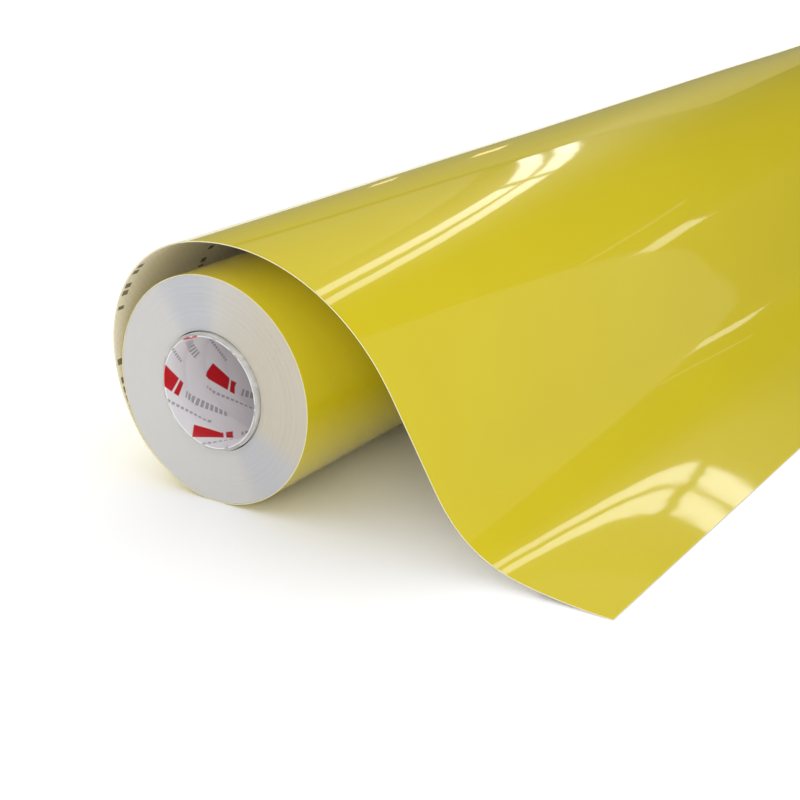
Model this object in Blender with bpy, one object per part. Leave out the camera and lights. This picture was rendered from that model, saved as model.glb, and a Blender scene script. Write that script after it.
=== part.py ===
"""A part-used roll of self-adhesive sign vinyl, lying on its side with the sheet pulled off over its top.

The roll's axis runs along Y. The loose sheet leaves the wound pack low on the -X side, passes up and over
the roll and comes down to the floor on the +X side. The face film is outside and its liner is inside.
The origin is on the floor, under the middle of the whole object. Units are metres and degrees.
"""
import math

import bmesh
import bpy
from mathutils import Vector

# The web: a vinyl film with its adhesive on a paper liner.
WEB_WIDTH = 1.260
FILM = 0.0002
ADHESIVE = 0.0003
LINER = 0.0003
WEB = FILM + ADHESIVE + LINER

# The wound pack and its core, as radii round the roll's axis.
PACK_RADIUS = 0.0790
CORE_BORE = 0.0381
CORE_WALL = 0.0024
CORE_STANDS_OUT = 0.0027
CORE_PLIES = 4
GLUE_LINE = 0.0003
TAPE = 0.0002
TAPE_WIDTH = 0.050
TAPE_MARGIN = 0.010
WINDING_BANDS = 5
FACETS = 40
CLEARANCE = 0.0003

# The loose sheet's underside, as bends (radius, heading at the bend's end). A heading of 90 is straight up
# and a heading of 0 points along +X. Bends over the roll curve down and bends near the floor curve back up.
LEAVES_PACK_AT = 215.0
LOOSE_TURN_BENDS = ((0.110, 98.0), (0.085, 13.0), (0.146, 0.0))
OVER_THE_SIDE = (0.146, -60.0)
FLOOR_BEND = (0.082, -36.0)
FLAP_BENDS = ((0.082, -11.0), (0.330, 0.0))
SHEET_FACET = 0.008

# The whole object's middle, measured from the roll's axis.
AXIS_X = -0.1044
AXIS_Z = PACK_RADIUS * math.cos(math.pi / FACETS)

YELLOW = (0.62, 0.53, 0.025)
LINER_CREAM = (0.72, 0.63, 0.46)
BOARD_GREY = (0.50, 0.46, 0.40)
PRINT_WHITE = (0.80, 0.80, 0.80)
EDGE_GREY = (0.62, 0.61, 0.58)
TAPE_TAN = (0.60, 0.45, 0.25)


def clear_scene():
    for item in list(bpy.data.objects):
        bpy.data.objects.remove(item, do_unlink=True)


def material(name, colour, roughness):
    made = bpy.data.materials.new(name)
    made.use_nodes = True
    shader = made.node_tree.nodes["Principled BSDF"]
    shader.inputs["Base Color"].default_value = (*colour, 1.0)
    shader.inputs["Roughness"].default_value = roughness
    shader.inputs["Metallic"].default_value = 0.0
    return made


def joint_empty(name, x, z, parent=None):
    """An empty on a joint's axis, which runs along Y. The pieces that move with the joint hang from it."""
    empty = bpy.data.objects.new(name, None)
    bpy.context.collection.objects.link(empty)
    place_under(empty, parent, Vector((x, 0.0, z)))
    return empty


def place_under(item, parent, world_position):
    """Parent an item and leave its origin at the given world position."""
    item.parent = parent
    item.location = world_position - world_origin(parent)


def world_origin(item):
    position = Vector((0.0, 0.0, 0.0))
    while item is not None:
        position = position + item.location
        item = item.parent
    return position


def solid_between(name, inner, outer, closed, length, finish, parent, origin):
    """A solid whose section lies between two matching outlines in XZ, extruded along Y.

    Both outlines run clockwise seen from -Y, the outer one on the left-hand side of travel.
    """
    bm = bmesh.new()
    rings = []
    for y in (-length / 2, length / 2):
        low = [bm.verts.new((x - origin.x, y, z - origin.z)) for x, z in inner]
        high = [bm.verts.new((x - origin.x, y, z - origin.z)) for x, z in outer]
        rings.append((low, high))
    (near_low, near_high), (far_low, far_high) = rings
    count = len(inner)
    for i in range(count if closed else count - 1):
        j = (i + 1) % count
        bm.faces.new((near_high[i], near_high[j], near_low[j], near_low[i]))
        bm.faces.new((far_low[i], far_low[j], far_high[j], far_high[i]))
        bm.faces.new((far_high[i], far_high[j], near_high[j], near_high[i]))
        bm.faces.new((near_low[i], near_low[j], far_low[j], far_low[i]))
    if not closed:
        bm.faces.new((near_low[0], far_low[0], far_high[0], near_high[0]))
        bm.faces.new((near_high[-1], far_high[-1], far_low[-1], near_low[-1]))
    bmesh.ops.recalc_face_normals(bm, faces=bm.faces)
    mesh = bpy.data.meshes.new(name)
    bm.to_mesh(mesh)
    bm.free()
    mesh.materials.append(finish)
    mesh.shade_smooth()
    mesh.set_sharp_from_angle(angle=math.radians(30))
    item = bpy.data.objects.new(name, mesh)
    bpy.context.collection.objects.link(item)
    place_under(item, parent, origin)
    return item


def circle(radius, start=0.0, turn=360.0, facets=FACETS):
    """Points round the roll's axis, clockwise seen from -Y. A full circle has a facet straight down."""
    points = []
    steps = facets if turn == 360.0 else facets + 1
    for i in range(steps):
        angle = math.radians(start - turn * i / facets) + math.pi / 2 - math.pi / FACETS
        points.append((AXIS_X + radius * math.cos(angle), AXIS_Z + radius * math.sin(angle)))
    return points


def tube(name, inner_radius, outer_radius, length, finish, parent):
    inner = circle(inner_radius)
    outer = circle(outer_radius)
    return solid_between(name, inner, outer, True, length, finish, parent, world_origin(parent))


def build_core(parent):
    """The core: a printed white paper ply inside, spiral-wound board plies, and a plain outer ply."""
    wall = (CORE_WALL - GLUE_LINE * (CORE_PLIES - 1)) / CORE_PLIES
    length = WEB_WIDTH + 2 * CORE_STANDS_OUT
    white = material("core_print", PRINT_WHITE, 0.6)
    board = material("core_board", BOARD_GREY, 0.85)
    names = ["core_print_ply"]
    names += [f"core_board_ply_{i}" for i in range(1, CORE_PLIES - 1)]
    names += ["core_outer_ply"]
    radius = CORE_BORE
    for name in names:
        finish = white if name == "core_print_ply" else board
        tube(name, radius, radius + wall, length, finish, parent)
        radius += wall + GLUE_LINE
    return radius


def build_start_tape(radius, parent):
    """The strip of tape that holds the first turn of the web to the core."""
    facets = 10
    turn = math.degrees(TAPE_WIDTH / radius)
    inner = circle(radius, turn / 2, turn, facets)
    outer = circle(radius + TAPE, turn / 2, turn, facets)
    tan = material("start_tape", TAPE_TAN, 0.5)
    length = WEB_WIDTH - 2 * TAPE_MARGIN
    solid_between("core_start_tape", inner, outer, False, length, tan, parent, world_origin(parent))
    return radius + TAPE + CLEARANCE


def build_pack(inner_radius, parent):
    """The wound web: bands of many turns, then the last full turn as its own liner and film."""
    film_inside = PACK_RADIUS - FILM
    liner_inside = film_inside - ADHESIVE - LINER
    edge = material("wound_web", EDGE_GREY, 0.55)
    bands_outside = liner_inside - CLEARANCE
    step = (bands_outside - inner_radius + CLEARANCE) / WINDING_BANDS
    for i in range(WINDING_BANDS):
        inside = inner_radius + i * step
        tube(f"winding_band_{i + 1}", inside, inside + step - CLEARANCE, WEB_WIDTH, edge, parent)
    liner = material("liner_outer_turn", LINER_CREAM, 0.6)
    film = material("film_outer_turn", YELLOW, 0.15)
    tube("outer_turn_liner", liner_inside, liner_inside + LINER, WEB_WIDTH, liner, parent)
    tube("outer_turn_film", film_inside, PACK_RADIUS, WEB_WIDTH, film, parent)


def follow_bends(point, heading, bends):
    """Walk tangent arcs from a point. Gives the stations as (x, z, heading in radians)."""
    x, z = point
    stations = [(x, z, heading)]
    for radius, end_heading in bends:
        turn = math.radians(end_heading) - heading
        steps = max(2, round(abs(turn) * radius / SHEET_FACET))
        chord = 2 * radius * math.sin(abs(turn) / steps / 2)
        for _ in range(steps):
            middle = heading + turn / steps / 2
            x += chord * math.cos(middle)
            z += chord * math.sin(middle)
            heading += turn / steps
            stations.append((x, z, heading))
    return stations


def descend(station, drop):
    """Walk straight on along a station's heading until it has come down by the drop."""
    x, z, heading = station
    length = -drop / math.sin(heading)
    steps = max(2, round(length / SHEET_FACET))
    run = []
    for i in range(1, steps + 1):
        along = length * i / steps
        run.append((x + along * math.cos(heading), z + along * math.sin(heading), heading))
    return run


def sheet_stations():
    """The loose sheet's underside as three runs: the turn round the roll, the drape and the flap."""
    leaving = math.radians(LEAVES_PACK_AT)
    radius = PACK_RADIUS + CLEARANCE
    start = (AXIS_X + radius * math.cos(leaving), AXIS_Z + radius * math.sin(leaving))
    loose_turn = follow_bends(start, leaving - math.pi / 2, LOOSE_TURN_BENDS)

    side = follow_bends(loose_turn[-1][:2], loose_turn[-1][2], (OVER_THE_SIDE,))
    from_side = follow_bends((0.0, 0.0), side[-1][2], (FLOOR_BEND,) + FLAP_BENDS)
    drop = side[-1][1] + from_side[-1][1]
    straight = descend(side[-1], drop)
    bend = follow_bends(straight[-1][:2], straight[-1][2], (FLOOR_BEND,))
    drape = side + straight + bend[1:]

    flap = follow_bends(drape[-1][:2], drape[-1][2], FLAP_BENDS)
    return loose_turn, drape, flap


def offset(stations, height):
    """The stations moved off the sheet's underside along its outward normal."""
    return [(x - height * math.sin(h), z + height * math.cos(h)) for x, z, h in stations]


def trimmed(stations, at_start, at_end):
    """The stations with a little cut off along the web, which leaves a gap where two bodies meet."""
    run = list(stations)
    if at_start:
        x, z, h = run[0]
        run[0] = (x + at_start * math.cos(h), z + at_start * math.sin(h), h)
    if at_end:
        x, z, h = run[-1]
        run[-1] = (x - at_end * math.cos(h), z - at_end * math.sin(h), h)
    return run


def build_web(name, stations, finishes, parent):
    """One stretch of the loose sheet, as its liner and its film."""
    liner, film = finishes
    origin = world_origin(parent)
    layers = (("liner", 0.0, LINER, liner), ("film", LINER + ADHESIVE, WEB, film))
    for layer, low, high, finish in layers:
        inner = offset(stations, low)
        outer = offset(stations, high)
        own = finish.copy()
        own.name = f"{layer}_{name}"
        solid_between(f"{layer}_{name}", inner, outer, False, WEB_WIDTH, own, parent, origin)


def build_sheet():
    loose_turn, drape, flap = sheet_stations()
    finishes = (material("liner", LINER_CREAM, 0.6), material("film", YELLOW, 0.15))
    half = CLEARANCE / 2
    crest = offset(loose_turn[-1:], WEB)[0]
    bend = offset(flap[:1], WEB)[0]
    sheet_lift = joint_empty("sheet_lift", *crest)
    flap_lift = joint_empty("flap_lift", *bend, sheet_lift)
    build_web("loose_turn", trimmed(loose_turn, 0.0, half), finishes, None)
    build_web("drape", trimmed(drape, half, half), finishes, sheet_lift)
    build_web("flap", trimmed(flap, half, 0.0), finishes, flap_lift)


def build():
    clear_scene()
    roll_spin = joint_empty("roll_spin", AXIS_X, AXIS_Z)
    tape_inside = build_core(roll_spin)
    pack_inside = build_start_tape(tape_inside, roll_spin)
    build_pack(pack_inside, roll_spin)
    build_sheet()


build()
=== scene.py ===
"""Looks for a part-used roll of yellow sign vinyl with its sheet drawn off over the top.

Units are metres and degrees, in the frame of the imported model: the roll's axis runs along Y, the floor is
at Z = 0 and the sheet's free end points along +X.
"""
import math

import bpy
import numpy as np
from mathutils import Matrix, Vector


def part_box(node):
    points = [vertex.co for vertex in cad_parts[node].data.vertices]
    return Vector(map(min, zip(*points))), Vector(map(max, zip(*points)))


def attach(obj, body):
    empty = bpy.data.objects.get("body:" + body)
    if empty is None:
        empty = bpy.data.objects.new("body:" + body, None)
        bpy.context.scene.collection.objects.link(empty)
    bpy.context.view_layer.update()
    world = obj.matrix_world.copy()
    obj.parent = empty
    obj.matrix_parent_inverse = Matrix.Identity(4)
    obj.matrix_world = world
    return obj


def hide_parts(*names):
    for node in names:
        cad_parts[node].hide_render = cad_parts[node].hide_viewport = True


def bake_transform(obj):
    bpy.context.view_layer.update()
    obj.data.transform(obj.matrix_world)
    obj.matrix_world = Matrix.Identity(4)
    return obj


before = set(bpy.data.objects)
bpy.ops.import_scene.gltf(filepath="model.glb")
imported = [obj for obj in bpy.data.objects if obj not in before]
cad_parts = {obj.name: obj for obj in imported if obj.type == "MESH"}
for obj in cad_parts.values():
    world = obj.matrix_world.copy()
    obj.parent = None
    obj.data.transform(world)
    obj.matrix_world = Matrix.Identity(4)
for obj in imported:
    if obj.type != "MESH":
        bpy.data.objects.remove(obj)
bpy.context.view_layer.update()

# Places from the frame.
PACK_LOW, PACK_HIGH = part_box("outer_turn_film")
AXIS_X = (PACK_LOW[0] + PACK_HIGH[0]) / 2
AXIS_Z = (PACK_LOW[2] + PACK_HIGH[2]) / 2
PACK_RADIUS = (PACK_HIGH[2] - PACK_LOW[2]) / 2
HALF_WEB = PACK_HIGH[1]
HALF_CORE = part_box("core_outer_ply")[1][1]

# The web and the core, at the CAD's sizes, but for the liner: it also fills most of the CAD's adhesive gap.
FILM = 0.0002
LINER = 0.00057
WEB = 0.0008
CORE_BORE = 0.0381
CORE_OUTSIDE = 0.0405
CORE_PLIES = 4
GLUE_LINE = 0.0003
WOUND_INSIDE = 0.0413

# Looks that the CAD doesn't have: the print's slant, the turns on each wound end and the sheet's inset edges.
PRINT_SLANT = 48.0
WOUND_TURNS = 100
EDGE_INSET = 0.0001

# The loose sheet's underside, as bends (radius, heading at the bend's end). It starts sunk into the pack.
WRAP_STARTS_AT = 240.0
LEAVES_PACK_AT = 215.0
LEAVING_RADIUS = 0.0793
BENDS_DOWN = ((LEAVING_RADIUS, LEAVES_PACK_AT - 90), (0.110, 98.0), (0.085, 13.0), (0.146, -60.0))
BENDS_UP = ((0.082, -11.0), (0.330, 0.0))
BEND_SOFTNESS = 0.016
SHEET_STEP = 0.0005
STEPS_PER_STATION = 5
FIRST_STRAIGHT_RUN = 0.070
SHEET_COLUMNS = 84
WRAP_SINK = 0.0015
WRAP_LENGTH = LEAVING_RADIUS * math.radians(WRAP_STARTS_AT - LEAVES_PACK_AT)

# The camera stands off the near end of the roll.
CAMERA_FROM_FACE = Vector((0.6129, -0.6972, 0.3424))
CAMERA_AZIMUTH = 33.68
CAMERA_ELEVATION = 20.73
CAMERA_LENS = 67.6
CAMERA_SENSOR = 36.0

YELLOW = (0.615, 0.502, 0.004)
YELLOW_LIGHT = (0.630, 0.515, 0.005)
LINER_BACK = (0.91, 0.85, 0.71)
LINER_BACK_LIGHT = (0.93, 0.88, 0.76)
LINER_NET = (0.95, 0.93, 0.87)
LINER_INK = (0.13, 0.10, 0.05)
LINER_EDGE = (0.64, 0.60, 0.46)
LINER_EDGE_DARK = (0.58, 0.54, 0.41)
PRINT_RED = (0.60, 0.012, 0.02)
PRINT_GREY = (0.22, 0.22, 0.24)
PAPER_WHITE = (0.84, 0.83, 0.85)
PAPER_LIGHT = (0.87, 0.86, 0.88)
BOARD = (0.49, 0.48, 0.45)
WOUND_NEUTRAL = (0.455, 0.450, 0.440)
# Painted light on the wound end: a warm tint where light falls on one side, and a cool painted sheen.
WOUND_WARM_PAINTED_LIGHT = (0.430, 0.390, 0.315)
WOUND_COOL_PAINTED_SHEEN = (0.365, 0.375, 0.410)
WOUND_RINGS = (0.45, 0.44, 0.42)
WOUND_FILM_LINES = (0.53, 0.48, 0.28)
TAPE_TAN = (0.60, 0.45, 0.25)
TAPE_DARK = (0.52, 0.38, 0.2)
FLOOR_GREY = (0.94, 0.94, 0.94)
FLOOR_WHITE = (0.955, 0.955, 0.955)

LINER_NET_PITCH = 0.0060
LINER_ROW_PITCH = 0.0765
LINER_DASH_PITCH = 0.0065
LINER_DASH_GROUP = 0.085


# ---------------------------------------------------------------------------------------------- camera

def make_camera():
    data = bpy.data.cameras.new("camera")
    data.lens = CAMERA_LENS
    data.sensor_width = CAMERA_SENSOR
    camera = bpy.data.objects.new("camera", data)
    bpy.context.collection.objects.link(camera)
    face = Vector((AXIS_X, -HALF_WEB, AXIS_Z))
    camera.location = face + CAMERA_FROM_FACE
    camera.rotation_euler = (math.radians(90 - CAMERA_ELEVATION), 0.0, math.radians(CAMERA_AZIMUTH))
    bpy.context.scene.camera = camera


# ------------------------------------------------------------------------------------- material nodes

class Finish:
    """A material with one Principled shader, and short ways to add nodes to it."""

    def __init__(self, name, roughness, **sockets):
        self.material = bpy.data.materials.new(name)
        self.material.use_nodes = True
        self.tree = self.material.node_tree
        self.shader = self.tree.nodes["Principled BSDF"]
        self.set("Roughness", roughness)
        for socket, value in sockets.items():
            self.set(socket.replace("_", " "), value)

    def set(self, socket, value):
        """Link a socket to another node's output, or give it a fixed value."""
        target = self.shader.inputs[socket]
        if isinstance(value, bpy.types.NodeSocket):
            self.tree.links.new(value, target)
        elif isinstance(value, tuple):
            target.default_value = (*value, 1.0)
        else:
            target.default_value = value

    def node(self, kind, inputs=(), **settings):
        made = self.tree.nodes.new(kind)
        for name, value in settings.items():
            setattr(made, name, value)
        for name, value in dict(inputs).items():
            if isinstance(value, bpy.types.NodeSocket):
                self.tree.links.new(value, made.inputs[name])
            else:
                made.inputs[name].default_value = value
        return made

    def math(self, operation, a, b=0.0):
        return self.node("ShaderNodeMath", {0: a, 1: b}, operation=operation).outputs[0]

    def object_point(self):
        return self.node("ShaderNodeTexCoord").outputs["Object"]

    def web_point(self):
        """Distance along the web and across it, in metres."""
        return self.node("ShaderNodeUVMap", uv_map="web").outputs[0]

    def parts(self, vector):
        return self.node("ShaderNodeSeparateXYZ", {0: vector}).outputs

    def noise(self, vector, scale, detail=3.0, roughness=0.5):
        inputs = {"Vector": vector, "Scale": scale, "Detail": detail, "Roughness": roughness}
        return self.node("ShaderNodeTexNoise", inputs).outputs["Fac"]

    def fit(self, value, low, high, to_low, to_high, smooth=False):
        inputs = {0: value, 1: low, 2: high, 3: to_low, 4: to_high}
        kind = "SMOOTHSTEP" if smooth else "LINEAR"
        return self.node("ShaderNodeMapRange", inputs, interpolation_type=kind).outputs[0]

    def mix(self, factor, a, b):
        made = self.node("ShaderNodeMix", {"Factor": factor}, data_type="RGBA")
        for index, value in ((6, a), (7, b)):
            if isinstance(value, bpy.types.NodeSocket):
                self.tree.links.new(value, made.inputs[index])
            else:
                made.inputs[index].default_value = (*value, 1.0)
        return made.outputs[2]

    def bump(self, height, distance, under=None):
        inputs = {"Height": height, "Distance": distance, "Strength": 1.0}
        if under is not None:
            inputs["Normal"] = under
        return self.node("ShaderNodeBump", inputs).outputs[0]

    def band(self, value, centre, half_width, softness):
        """1 inside a band round a value, 0 outside, with soft edges."""
        away = self.math("ABSOLUTE", self.math("SUBTRACT", value, centre))
        return self.fit(away, half_width, half_width + softness, 1.0, 0.0)

    def cell(self, value, period, shift=0.0):
        """Position inside a repeat, from 0 to 1."""
        return self.math("FRACT", self.math("DIVIDE", self.math("ADD", value, shift), period))


def film_finish():
    """Glossy calendered vinyl: a clear sharp gloss over a softer one, with a faint orange peel."""
    film = Finish("yellow_film", 0.30, Coat_Weight=1.0, Coat_Roughness=0.045, Coat_IOR=1.42)
    film.set("Specular IOR Level", 0.30)
    place = film.object_point()
    cloud = film.fit(film.noise(place, 9.0, 2.0), 0.3, 0.7, 0.0, 1.0)
    film.set("Base Color", film.mix(cloud, YELLOW, YELLOW_LIGHT))
    peel = film.noise(place, 260.0, 2.0)
    waves = film.noise(place, 38.0, 1.0)
    soft = film.bump(waves, 0.00004)
    fine = film.bump(peel, 0.0000016, under=soft)
    film.set("Normal", fine)
    film.set("Coat Normal", fine)
    return film.material


def liner_finish():
    """Release paper: cream, with a pale diagonal net and rows of plain dark dashes on its back."""
    liner = Finish("release_liner", 0.42)
    liner.set("Specular IOR Level", 0.4)
    place = liner.web_point()
    along, across, _ = liner.parts(place)
    strands = []
    for sign in ("ADD", "SUBTRACT"):
        cell = liner.cell(liner.math(sign, along, across), LINER_NET_PITCH, 10.0)
        strands.append(liner.band(cell, 0.5, 0.10, 0.12))
    net = liner.math("MAXIMUM", *strands)
    mottle = liner.noise(place, 60.0, 4.0)
    paper = liner.mix(liner.fit(mottle, 0.3, 0.7, 0.0, 1.0), LINER_BACK, LINER_BACK_LIGHT)
    netted = liner.mix(liner.math("MULTIPLY", net, 0.65), paper, LINER_NET)
    row = liner.band(liner.cell(across, LINER_ROW_PITCH, 0.6643), 0.5, 0.032, 0.006)
    dash = liner.band(liner.cell(along, LINER_DASH_PITCH, 6.5), 0.5, 0.30, 0.06)
    index = liner.math("FLOOR", liner.math("DIVIDE", along, LINER_DASH_PITCH))
    pick = liner.node("ShaderNodeTexWhiteNoise", {"W": index}, noise_dimensions="1D").outputs["Value"]
    dash = liner.math("MULTIPLY", dash, liner.fit(pick, 0.30, 0.31, 0.0, 1.0))
    group = liner.band(liner.cell(along, LINER_DASH_GROUP, 0.911), 0.5, 0.30, 0.002)
    ink = liner.math("MULTIPLY", row, liner.math("MULTIPLY", dash, group))
    liner.set("Base Color", liner.mix(liner.math("MULTIPLY", ink, 0.85), netted, LINER_INK))
    fibres = liner.noise(place, 1400.0, 3.0)
    liner.set("Normal", liner.bump(liner.math("ADD", net, fibres), 0.00003))
    return liner.material


def liner_edge_finish():
    """The liner's cut edges and the liner under the pack's outer film, duller than the liner's back."""
    edge = Finish("liner_edge", 0.6)
    speck = edge.noise(edge.object_point(), 900.0, 3.0)
    edge.set("Base Color", edge.mix(edge.fit(speck, 0.3, 0.7, 0.0, 1.0), LINER_EDGE, LINER_EDGE_DARK))
    edge.set("Normal", edge.bump(speck, 0.00004))
    return edge.material


def round_axis(finish, place):
    """Radius and angle round the roll's axis, and distance along it."""
    x, y, z = finish.parts(place)
    across = finish.math("SUBTRACT", x, AXIS_X)
    up = finish.math("SUBTRACT", z, AXIS_Z)
    squares = finish.math("ADD", finish.math("POWER", across, 2.0), finish.math("POWER", up, 2.0))
    radius = finish.math("SQRT", squares)
    angle = finish.math("ARCTAN2", up, across)
    return radius, angle, y


def wound_finish():
    """The wound web's end: the cut edges of many turns of film and paper, with painted warm light and painted
    sheen.
    """
    wound = Finish("wound_edges", 0.36, Anisotropic=0.6)
    wound.set("Specular IOR Level", 0.6)
    place = wound.object_point()
    radius, angle, _ = round_axis(wound, place)

    def sector(centre, half_width):
        away = wound.math("COSINE", wound.math("SUBTRACT", angle, math.radians(centre)))
        return wound.fit(away, math.cos(math.radians(half_width)), 1.0, 0.0, 1.0, smooth=True)

    rings = wound.node("ShaderNodeCombineXYZ", {0: radius, 1: 0.0, 2: 0.0}).outputs[0]
    coarse = wound.noise(rings, 260.0, 4.0, 0.6)
    fine = wound.noise(rings, 2600.0, 3.0, 0.6)
    # Painted light: the warm tint over the half towards +X stands in for warm light falling on that side.
    colour = wound.mix(sector(10.0, 95.0), WOUND_NEUTRAL, WOUND_WARM_PAINTED_LIGHT)
    # Painted reflection: cool sectors at 104 and -46 degrees stand in for the sheen on the turns' edges.
    painted_sheen_sectors = wound.math("MAXIMUM", sector(104.0, 24.0), sector(-46.0, 24.0))
    colour = wound.mix(wound.math("MULTIPLY", painted_sheen_sectors, 0.8), colour, WOUND_COOL_PAINTED_SHEEN)
    colour = wound.mix(wound.fit(coarse, 0.35, 0.75, 0.0, 0.25), colour, WOUND_RINGS)
    tinted = wound.mix(wound.fit(fine, 0.55, 0.8, 0.0, 0.35), colour, WOUND_FILM_LINES)
    wound.set("Base Color", tinted)
    wound.set("Normal", wound.bump(wound.math("ADD", fine, coarse), 0.00003))
    ring_direction = wound.node("ShaderNodeTangent", direction_type="RADIAL", axis="Y").outputs[0]
    wound.set("Tangent", ring_direction)
    return wound.material


def print_finish():
    """The core's inner ply: white paper with slanting rows of plain red bars and grey dashes."""
    paper = Finish("core_print_paper", 0.35)
    place = paper.object_point()
    _, angle, along = round_axis(paper, place)
    arc = paper.math("MULTIPLY", angle, CORE_BORE)
    slant = math.radians(PRINT_SLANT)
    girth = 2 * math.pi * CORE_BORE
    row_pair = girth * math.cos(slant) / 3
    run = girth * math.sin(slant) / 2

    def turned(a, first, b, second):
        return paper.math("ADD", paper.math("MULTIPLY", a, first), paper.math("MULTIPLY", b, second))

    forward = turned(along, math.cos(slant), arc, math.sin(slant))
    sideways = turned(arc, math.cos(slant), along, -math.sin(slant))
    rows = paper.cell(sideways, row_pair, 40 * row_pair)

    def patch(row, row_half, shift, centre, half):
        """A mark in a pair of rows: its row and half height, then its place and half length in the run."""
        place_in_run = paper.cell(forward, run, 40 * run + shift)
        across = paper.band(rows, row, row_half, 0.012)
        return paper.math("MULTIPLY", across, paper.band(place_in_run, centre, half, 0.008))

    reds, greys = [], []
    for row, shift in ((0.25, 0.0), (0.75, run / 2)):
        reds.append(patch(row, 0.095, shift, 0.22, 0.115))
        reds.append(patch(row, 0.095, shift, 0.385, 0.022))
        greys.append(patch(row, 0.045, shift, 0.68, 0.20))
        greys.append(patch(row + 0.22, 0.012, shift, 0.45, 0.30))
    red = paper.math("MAXIMUM", paper.math("MAXIMUM", *reds[:2]), paper.math("MAXIMUM", *reds[2:]))
    grey = paper.math("MAXIMUM", paper.math("MAXIMUM", *greys[:2]), paper.math("MAXIMUM", *greys[2:]))
    dashes = paper.band(paper.cell(forward, run / 24, 40 * run), 0.5, 0.30, 0.06)
    mottle = paper.fit(paper.noise(place, 90.0, 4.0), 0.3, 0.7, 0.0, 1.0)
    colour = paper.mix(mottle, PAPER_WHITE, PAPER_LIGHT)
    ink = paper.math("MULTIPLY", paper.math("MULTIPLY", grey, dashes), 0.65)
    colour = paper.mix(ink, colour, PRINT_GREY)
    colour = paper.mix(red, colour, PRINT_RED)
    paper.set("Base Color", colour)
    paper.set("Normal", paper.bump(paper.noise(place, 1500.0, 3.0), 0.00003))
    return paper.material


def board_finish(name, colour):
    """Grey core board with flecks of recycled fibre."""
    board = Finish(name, 0.85)
    place = board.object_point()
    fleck = board.noise(place, 1100.0, 4.0, 0.7)
    cloud = board.noise(place, 120.0, 3.0)
    light = tuple(min(1.0, channel * 1.25) for channel in colour)
    dark = tuple(channel * 0.7 for channel in colour)
    tone = board.mix(board.fit(cloud, 0.3, 0.7, 0.0, 1.0), colour, light)
    board.set("Base Color", board.mix(board.fit(fleck, 0.60, 0.75, 0.0, 1.0), tone, dark))
    board.set("Normal", board.bump(fleck, 0.00008))
    return board.material


def tape_finish():
    tape = Finish("start_tape", 0.4)
    place = tape.object_point()
    streak = tape.noise(place, 300.0, 2.0)
    tape.set("Base Color", tape.mix(tape.fit(streak, 0.3, 0.7, 0.0, 1.0), TAPE_TAN, TAPE_DARK))
    tape.set("Normal", tape.bump(streak, 0.00003))
    return tape.material


def floor_finish():
    floor = Finish("pale_floor", 0.7)
    place = floor.object_point()
    tone = floor.fit(floor.noise(place, 3.0, 3.0), 0.3, 0.7, 0.0, 1.0)
    floor.set("Base Color", floor.mix(tone, FLOOR_GREY, FLOOR_WHITE))
    floor.set("Specular IOR Level", 0.2)
    return floor.material


# -------------------------------------------------------------------------------------------- meshes

def make_object(name, points, faces, materials, material_of=None, web=None, smooth_angle=30.0):
    """An object from points and quads. web gives each point its place on the web for the material."""
    mesh = bpy.data.meshes.new(name)
    mesh.from_pydata([tuple(p) for p in points], [], faces)
    for finish in materials:
        mesh.materials.append(finish)
    if material_of is not None:
        mesh.polygons.foreach_set("material_index", material_of)
    if web is not None:
        layer = mesh.uv_layers.new(name="web")
        corner = np.zeros(len(mesh.loops), np.int32)
        mesh.loops.foreach_get("vertex_index", corner)
        layer.data.foreach_set("uv", np.asarray(web, np.float32)[corner].ravel())
    mesh.validate()
    mesh.update()
    if smooth_angle:
        mesh.shade_smooth()
        mesh.set_sharp_from_angle(angle=math.radians(smooth_angle))
    item = bpy.data.objects.new(name, mesh)
    bpy.context.collection.objects.link(item)
    return item


def sheet_headings(straight):
    """The underside's heading every SHEET_STEP along the web, with its changes of bend softened."""
    heading = math.radians(WRAP_STARTS_AT - 90)
    runs = []

    def bend(radius, end):
        nonlocal heading
        turn = math.radians(end) - heading
        steps = round(abs(turn) * radius / SHEET_STEP)
        runs.append(np.linspace(heading, heading + turn, steps, endpoint=False))
        heading += turn

    for radius, end in BENDS_DOWN:
        bend(radius, end)
    runs.append(np.full(round(straight / SHEET_STEP), heading))
    for radius, end in BENDS_UP:
        bend(radius, end)
    sharp = np.concatenate(runs)
    reach = round(BEND_SOFTNESS / SHEET_STEP)
    before = sharp[0] + (sharp[0] - sharp[1]) * np.arange(reach, 0, -1)
    after = np.full(reach, sharp[-1])
    window = np.ones(2 * reach + 1) / (2 * reach + 1)
    return np.convolve(np.concatenate([before, sharp, after]), window, "valid")


def walk_sheet(straight):
    """The underside's points and headings, from under the pack to the cut end."""
    headings = sheet_headings(straight)
    start = math.radians(WRAP_STARTS_AT)
    start_x = AXIS_X + LEAVING_RADIUS * math.cos(start)
    start_z = AXIS_Z + LEAVING_RADIUS * math.sin(start)
    x = start_x + np.concatenate([[0], np.cumsum(np.cos(headings))]) * SHEET_STEP
    z = start_z + np.concatenate([[0], np.cumsum(np.sin(headings))]) * SHEET_STEP
    return x, z, np.concatenate([headings, headings[-1:]])


def sheet_profile():
    """The underside's stations as (x, z, heading, distance).

    The straight run is made as long as it takes to bring the cut end down to the floor.
    """
    straight = FIRST_STRAIGHT_RUN
    steep = math.radians(BENDS_DOWN[-1][1])
    for _ in range(3):
        x, z, headings = walk_sheet(straight)
        straight += (z[-1] - EDGE_INSET) / math.sin(-steep)
    keep = np.arange(0, len(x), STEPS_PER_STATION)
    if keep[-1] != len(x) - 1:
        keep = np.append(keep, len(x) - 1)
    distance = keep * SHEET_STEP
    return x[keep], z[keep], headings[keep], distance


def smoothstep(value):
    value = np.clip(value, 0.0, 1.0)
    return value * value * (3 - 2 * value)


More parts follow.
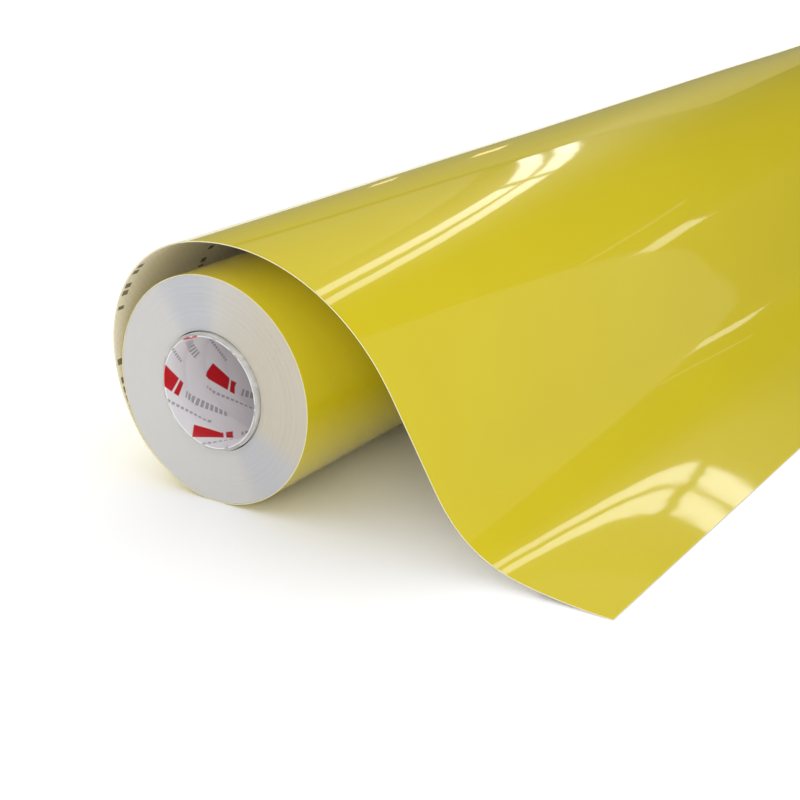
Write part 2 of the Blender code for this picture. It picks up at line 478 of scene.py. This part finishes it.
# Gentle waves in the sheet, as (length along the web, length across it, phase, height).
RIPPLES = (
    (0.210, 0.930, 0.4, 0.00013),
    (0.160, -0.520, 2.1, 0.00009),
    (0.330, 0.310, 4.0, 0.00010),
    (0.120, 1.700, 1.3, 0.00005),
)
CALM_BEYOND_WRAP = 0.06
CALM_ROUND_SEAM = 0.05
CALM_BEFORE_END = 0.05


def ripple(distance, across, seam, length):
    """How far the sheet stands off its plain profile. It is calm at the pack, the seam and the cut end."""
    height = np.zeros(np.broadcast(distance, across).shape)
    for along_length, across_length, phase, size in RIPPLES:
        height += size * np.sin(2 * math.pi * (distance / along_length + across / across_length) + phase)
    calm = smoothstep((distance - WRAP_LENGTH) / CALM_BEYOND_WRAP)
    calm = calm * smoothstep(np.abs(distance - seam) / CALM_ROUND_SEAM - 0.2)
    return height * calm * smoothstep((length - distance) / CALM_BEFORE_END)


def shell(name, profile, low, high, seam, finishes, outer_slot, inner_slot, edge_slot, part):
    """One layer of the sheet between two heights over the underside, as a thin closed shell."""
    x, z, heading, distance = profile
    length = distance[-1]
    inside = (distance <= seam + 1e-9) if part == "upper" else (distance >= seam - 1e-9)
    x, z, heading, distance = (values[inside][:, None] for values in (x, z, heading, distance))
    y = np.linspace(-HALF_WEB + EDGE_INSET, HALF_WEB - EDGE_INSET, SHEET_COLUMNS + 1)[None, :]
    sink = WRAP_SINK * (1 - smoothstep(distance / WRAP_LENGTH))
    lift = ripple(distance, y, seam, length) - sink
    rows, columns = len(x), y.shape[1]
    layers = []
    for height in (high, low):
        off = height + lift
        px = x - np.sin(heading) * off
        pz = z + np.cos(heading) * off
        layers.append(np.stack([px, np.broadcast_to(y, px.shape), pz], axis=-1).reshape(-1, 3))
    points = np.concatenate(layers)
    spot = np.stack(np.broadcast_arrays(distance, y), axis=-1).reshape(-1, 2)
    web = np.concatenate([spot, spot])
    size = rows * columns
    faces, slots = [], []
    for i in range(rows - 1):
        for j in range(columns - 1):
            a, b = i * columns + j, i * columns + j + 1
            c, d = b + columns, a + columns
            faces.append((a, b, c, d))
            faces.append((size + d, size + c, size + b, size + a))
            slots += [outer_slot, inner_slot]
    for i in range(rows - 1):
        a, b = i * columns, (i + 1) * columns
        faces.append((a, b, size + b, size + a))
        c, d = a + columns - 1, b + columns - 1
        faces.append((c, size + c, size + d, d))
        slots += [edge_slot, edge_slot]
    for j in range(columns - 1):
        faces.append((j, size + j, size + j + 1, j + 1))
        e = (rows - 1) * columns + j
        faces.append((e, e + 1, size + e + 1, size + e))
        slots += [edge_slot, edge_slot]
    return make_object(name, points, faces, finishes, slots, web)


def build_sheet(film, liner, liner_edge):
    """The loose sheet: film and liner, each in an upper and a lower piece that meet on the straight run."""
    profile = sheet_profile()
    heading, distance = profile[2:]
    steep = np.nonzero(heading < math.radians(BENDS_DOWN[-1][1]) + 1e-4)[0]
    seam = distance[steep[len(steep) // 2]]
    layers = (
        ("liner", 0.0, LINER, (liner, liner_edge), (0, 0, 1), ("outer_turn_film", "floor")),
        ("film", WEB - FILM, WEB, (film,), (0, 0, 0), ("liner_sheet_upper", "liner_sheet_lower")),
    )
    for layer, low, high, finishes, slots, under in layers:
        upper = shell(f"{layer}_sheet_upper", profile, low, high, seam, finishes, *slots, "upper")
        lower = shell(f"{layer}_sheet_lower", profile, low, high, seam, finishes, *slots, "lower")
        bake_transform(upper)
        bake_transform(lower)
        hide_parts(f"{layer}_loose_turn", f"{layer}_drape")
        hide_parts(f"{layer}_flap")


def tube(name, inner, outer, half_length, finishes, segments=192, chamfer=0.00008, fray=0.0, seed=1):
    """A round tube along the roll's axis with eased edges. Fray roughens its cut ends."""
    shape = np.random.default_rng(seed)
    section = [
        (inner, -half_length + chamfer), (inner + chamfer, -half_length),
        (outer - chamfer, -half_length), (outer, -half_length + chamfer),
        (outer, half_length - chamfer), (outer - chamfer, half_length),
        (inner + chamfer, half_length), (inner, half_length - chamfer),
    ]
    points, web = [], []
    for j in range(segments):
        angle = 2 * math.pi * j / segments - math.pi / 2
        jitter = shape.uniform(-fray, fray, len(section))
        for k, (radius, y) in enumerate(section):
            inward = -math.copysign(abs(jitter[k]), y)
            x, z = AXIS_X + radius * math.cos(angle), AXIS_Z + radius * math.sin(angle)
            points.append((x, y + inward, z))
            web.append((angle * outer, y))
    count = len(section)
    faces = []
    for j in range(segments):
        a, b = j * count, (j + 1) % segments * count
        for k in range(count):
            m = (k + 1) % count
            faces.append((a + k, a + m, b + m, b + k))
    return make_object(name, points, faces, finishes, web=web)


def printed_ply(name, inner, outer, half_length, finishes):
    """The core's inner ply, with the helical seam of its winding let into the bore."""
    segments, rows = 200, 60
    seam_depth = 0.00012
    seam_pitch = 0.21
    turns_over_length = 2 * half_length / seam_pitch
    points = []
    for i in range(rows + 1):
        share = i / rows
        y = -half_length + 2 * half_length * share
        for j in range(segments):
            angle = 2 * math.pi * (j / segments + turns_over_length * share)
            deep = inner + (seam_depth if j == 0 else 0.0)
            points.append((AXIS_X + deep * math.cos(angle), y, AXIS_Z + deep * math.sin(angle)))
    skin = len(points)
    for i in (rows, 0):
        y = -half_length + 2 * half_length * i / rows
        for j in range(segments):
            angle = 2 * math.pi * (j / segments + turns_over_length * i / rows)
            points.append((AXIS_X + outer * math.cos(angle), y, AXIS_Z + outer * math.sin(angle)))
    loops = [[i * segments + j for j in range(segments)] for i in range(rows + 1)]
    loops.append([skin + j for j in range(segments)])
    loops.append([skin + segments + j for j in range(segments)])
    faces = []
    shift = round(turns_over_length * segments)
    for k, low in enumerate(loops):
        high = loops[(k + 1) % len(loops)]
        offset = shift if low is loops[-2] else 0
        for j in range(segments):
            m = (j + 1) % segments
            faces.append((low[(j - offset) % segments], low[(m - offset) % segments], high[m], high[j]))
    return make_object(name, points, faces, finishes)


def build_core(white, board, outer_board):
    """The core: the printed ply in the bore, then the board plies and the outer wrap."""
    wall = (CORE_OUTSIDE - CORE_BORE - GLUE_LINE * (CORE_PLIES - 1)) / CORE_PLIES
    pieces = [printed_ply("core_inner_paper", CORE_BORE, CORE_BORE + wall, HALF_CORE, (white,))]
    nodes = ["core_print_ply"]
    for i in range(1, CORE_PLIES):
        inside = CORE_BORE + i * (wall + GLUE_LINE)
        last = i == CORE_PLIES - 1
        name = "core_wrap" if last else f"core_board_{i}"
        finish = outer_board if last else board
        pieces.append(tube(name, inside, inside + wall, HALF_CORE, (finish,), fray=0.00012, seed=i))
        nodes.append("core_outer_ply" if last else f"core_board_ply_{i}")
    for piece, node in zip(pieces, nodes):
        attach(piece, "roll")
        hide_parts(node)


def wound_section(outside):
    """The wound web's end, as (radius, inset). Each turn's edge stands a little in or out, with a groove."""
    shape = np.random.default_rng(11)
    pitch = (outside - WOUND_INSIDE) / WOUND_TURNS
    groove = 0.00005
    usual_inset = 0.00025
    section = []
    drift = 0.0
    for i in range(WOUND_TURNS):
        drift = 0.88 * drift + shape.normal(0.0, 0.000025)
        own = drift + shape.normal(0.0, 0.000012)
        radius = WOUND_INSIDE + i * pitch
        inset = min(max(usual_inset + own, 0.00002), 0.0006)
        section.append((radius, inset + groove))
        section.append((radius + pitch * 0.35, inset))
        section.append((radius + pitch * 0.80, inset))
    section.append((outside, usual_inset))
    return section


def build_pack(film, liner, wound):
    """The wound web, then its outermost liner and film."""
    gap_under_film = 0.00002
    gap_under_liner = 0.0001
    film_inside = PACK_RADIUS - FILM
    liner_inside = film_inside - gap_under_film - LINER
    outside = liner_inside - gap_under_liner
    section = wound_section(outside)
    ring = [(radius, -HALF_WEB + inset) for radius, inset in section]
    ring += [(radius, HALF_WEB - inset) for radius, inset in reversed(section)]
    segments = 144
    points = []
    for j in range(segments):
        angle = 2 * math.pi * j / segments
        side, up = math.cos(angle), math.sin(angle)
        points += [(AXIS_X + radius * side, y, AXIS_Z + radius * up) for radius, y in ring]
    count = len(ring)
    faces = []
    for j in range(segments):
        a, b = j * count, (j + 1) % segments * count
        for k in range(count):
            m = (k + 1) % count
            faces.append((a + k, a + m, b + m, b + k))
    web = make_object("wound_web", points, faces, (wound,), smooth_angle=0.0)
    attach(web, "roll")
    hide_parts(*[f"winding_band_{i}" for i in range(1, 6)])
    paper = tube("outer_turn_paper", liner_inside, liner_inside + LINER, HALF_WEB, (liner,), 256)
    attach(paper, "roll")
    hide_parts("outer_turn_liner")
    skin = tube("outer_turn_vinyl", film_inside, PACK_RADIUS, HALF_WEB, (film,), 256)
    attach(skin, "roll")
    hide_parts("outer_turn_film")


def finish_tape():
    tape = bpy.data.objects["core_start_tape"]
    finish = tape_finish()
    tape.data.materials.clear()
    tape.data.materials.append(finish)


# ---------------------------------------------------------------------------------------------- stage

def build_floor():
    half = 14.0
    corners = [(-half, -half, 0.0), (half, -half, 0.0), (half, half, 0.0), (-half, half, 0.0)]
    floor = make_object("floor", corners, [(0, 1, 2, 3)], (floor_finish(),), smooth_angle=0.0)


def direction(azimuth, elevation):
    """A direction from its bearing, counted from +Y towards +X, and its height over the horizon."""
    a, e = math.radians(azimuth), math.radians(elevation)
    return Vector((math.sin(a) * math.cos(e), math.cos(a) * math.cos(e), math.sin(e)))


def area_light(name, centre, along, facing, length, width, radiance, colour=(1.0, 1.0, 1.0)):
    """A rectangular light of a given brightness, its long side along one direction."""
    data = bpy.data.lights.new(name, "AREA")
    data.shape = "RECTANGLE"
    data.size, data.size_y = length, width
    data.energy = radiance * math.pi * length * width
    data.color = colour
    lamp = bpy.data.objects.new(name, data)
    bpy.context.collection.objects.link(lamp)
    back = -facing.normalized()
    x = (along - along.dot(back) * back).normalized()
    y = back.cross(x)
    lamp.matrix_world = Matrix.Translation(centre) @ Matrix((x, y, back)).transposed().to_4x4()
    lamp.visible_camera = False
    return lamp


def build_lights():
    """Ceiling strips with a soft glow beside them, a tall panel, a back wall and small lamps.

    The fills from the front and from above don't show in the gloss.
    """
    middle = Vector((AXIS_X + 0.15, -0.35, AXIS_Z + 0.06))
    ceiling = 4.0
    strip_width = 0.24
    strip_radiance = 3.4
    up = Vector((0.0, 0.0, 1.0))

    def overhead(azimuth, elevation):
        """The point of the ceiling that lies in a direction from the middle."""
        way = direction(azimuth, elevation)
        return middle + way * (ceiling / way.z)

    down = Vector((0.0, 0.0, -1.0))
    strips = (
        ("strip_left_far", (-24.0, 20.4), (-16.4, 27.6)),
        ("strip_left_near", (-15.6, 28.5), (-1.0, 43.0)),
        ("strip_right_far", (-22.3, 20.0), (-14.7, 27.0)),
        ("strip_right_near", (-14.0, 27.7), (4.4, 41.9)),
    )
    for name, far, near in strips:
        start, end = overhead(*far), overhead(*near)
        length = (end - start).length
        area_light(name, (start + end) / 2, end - start, down, length, strip_width, strip_radiance)
    run = overhead(-1.0, 43.0) - overhead(-24.0, 20.4)
    beside = Vector((run.y, -run.x, 0.0)).normalized()
    glow = overhead(-13.0, 31.0) + beside * 2.5
    area_light("ceiling_glow", glow, run, down, 9.0, 3.6, 0.22)

    panel = middle + direction(48.0, 16.0) * 4.0
    flat = Vector((panel.x - middle.x, panel.y - middle.y, 0.0)).normalized()
    area_light("soft_panel", panel, up, -flat, 4.4, 3.5, 0.33)

    front = direction(158.0, 11.0)
    fill = area_light("front_fill", middle + front * 3.5, up, -front, 2.2, 3.2, 3.4)
    fill.visible_glossy = False
    sky = bpy.data.lights.new("top_fill", "SUN")
    sky.energy = 1.25
    sky.angle = math.radians(110.0)
    top = bpy.data.objects.new("top_fill", sky)
    bpy.context.collection.objects.link(top)
    top.rotation_euler = Vector((-0.33, 0.10, 1.0)).to_track_quat("Z", "Y").to_euler()
    top.visible_glossy = False

    # Each light's name, azimuth, elevation, height, width, radiance and colour.
    around = (
        ("back_wall", -33.0, 8.5, 2.3, 4.0, 0.24, (1.0, 0.94, 0.55)),
        ("lamp_right", 22.2, 14.2, 0.18, 0.36, 2.4, (1.0, 1.0, 0.95)),
        ("rail_right", 19.5, 19.6, 0.05, 0.75, 0.6, (1.0, 1.0, 0.9)),
        ("lamp_left", -32.0, 8.6, 0.20, 0.16, 1.6, (1.0, 0.75, 0.4)),
        ("lamp_far_left", -37.6, 5.6, 0.20, 0.12, 1.2, (1.0, 0.8, 0.5)),
    )
    for name, azimuth, elevation, height, width, radiance, colour in around:
        way = direction(azimuth, elevation)
        area_light(name, middle + way * 6.0, up, -way, height, width, radiance, colour)


def build_world():
    """An even pale studio: bright to the eye and as fill light, and dim where the gloss mirrors it."""
    world = bpy.data.worlds.new("studio")
    bpy.context.scene.world = world
    world.use_nodes = True
    tree = world.node_tree
    tree.nodes.clear()
    path = tree.nodes.new("ShaderNodeLightPath")
    output = tree.nodes.new("ShaderNodeOutputWorld")
    shades = []
    for colour, strength in (((1.0, 1.0, 1.0), 0.66), ((1.0, 0.98, 0.95), 0.05), ((1.0, 1.0, 1.0), 1.0)):
        shade = tree.nodes.new("ShaderNodeBackground")
        shade.inputs["Color"].default_value = (*colour, 1.0)
        shade.inputs["Strength"].default_value = strength
        shades.append(shade)
    fill, mirrored, seen = shades
    glossy = tree.nodes.new("ShaderNodeMixShader")
    tree.links.new(path.outputs["Is Glossy Ray"], glossy.inputs[0])
    tree.links.new(fill.outputs[0], glossy.inputs[1])
    tree.links.new(mirrored.outputs[0], glossy.inputs[2])
    camera = tree.nodes.new("ShaderNodeMixShader")
    tree.links.new(path.outputs["Is Camera Ray"], camera.inputs[0])
    tree.links.new(glossy.outputs[0], camera.inputs[1])
    tree.links.new(seen.outputs[0], camera.inputs[2])
    tree.links.new(camera.outputs[0], output.inputs["Surface"])


def main():
    make_camera()
    bpy.context.scene.view_settings.view_transform = "Standard"
    film = film_finish()
    liner = liner_finish()
    build_sheet(film, liner, liner_edge_finish())
    build_pack(film, liner_edge_finish(), wound_finish())
    build_core(print_finish(), board_finish("core_board", BOARD), board_finish("core_wrap_board", BOARD))
    finish_tape()
    build_floor()
    build_lights()
    build_world()


main()
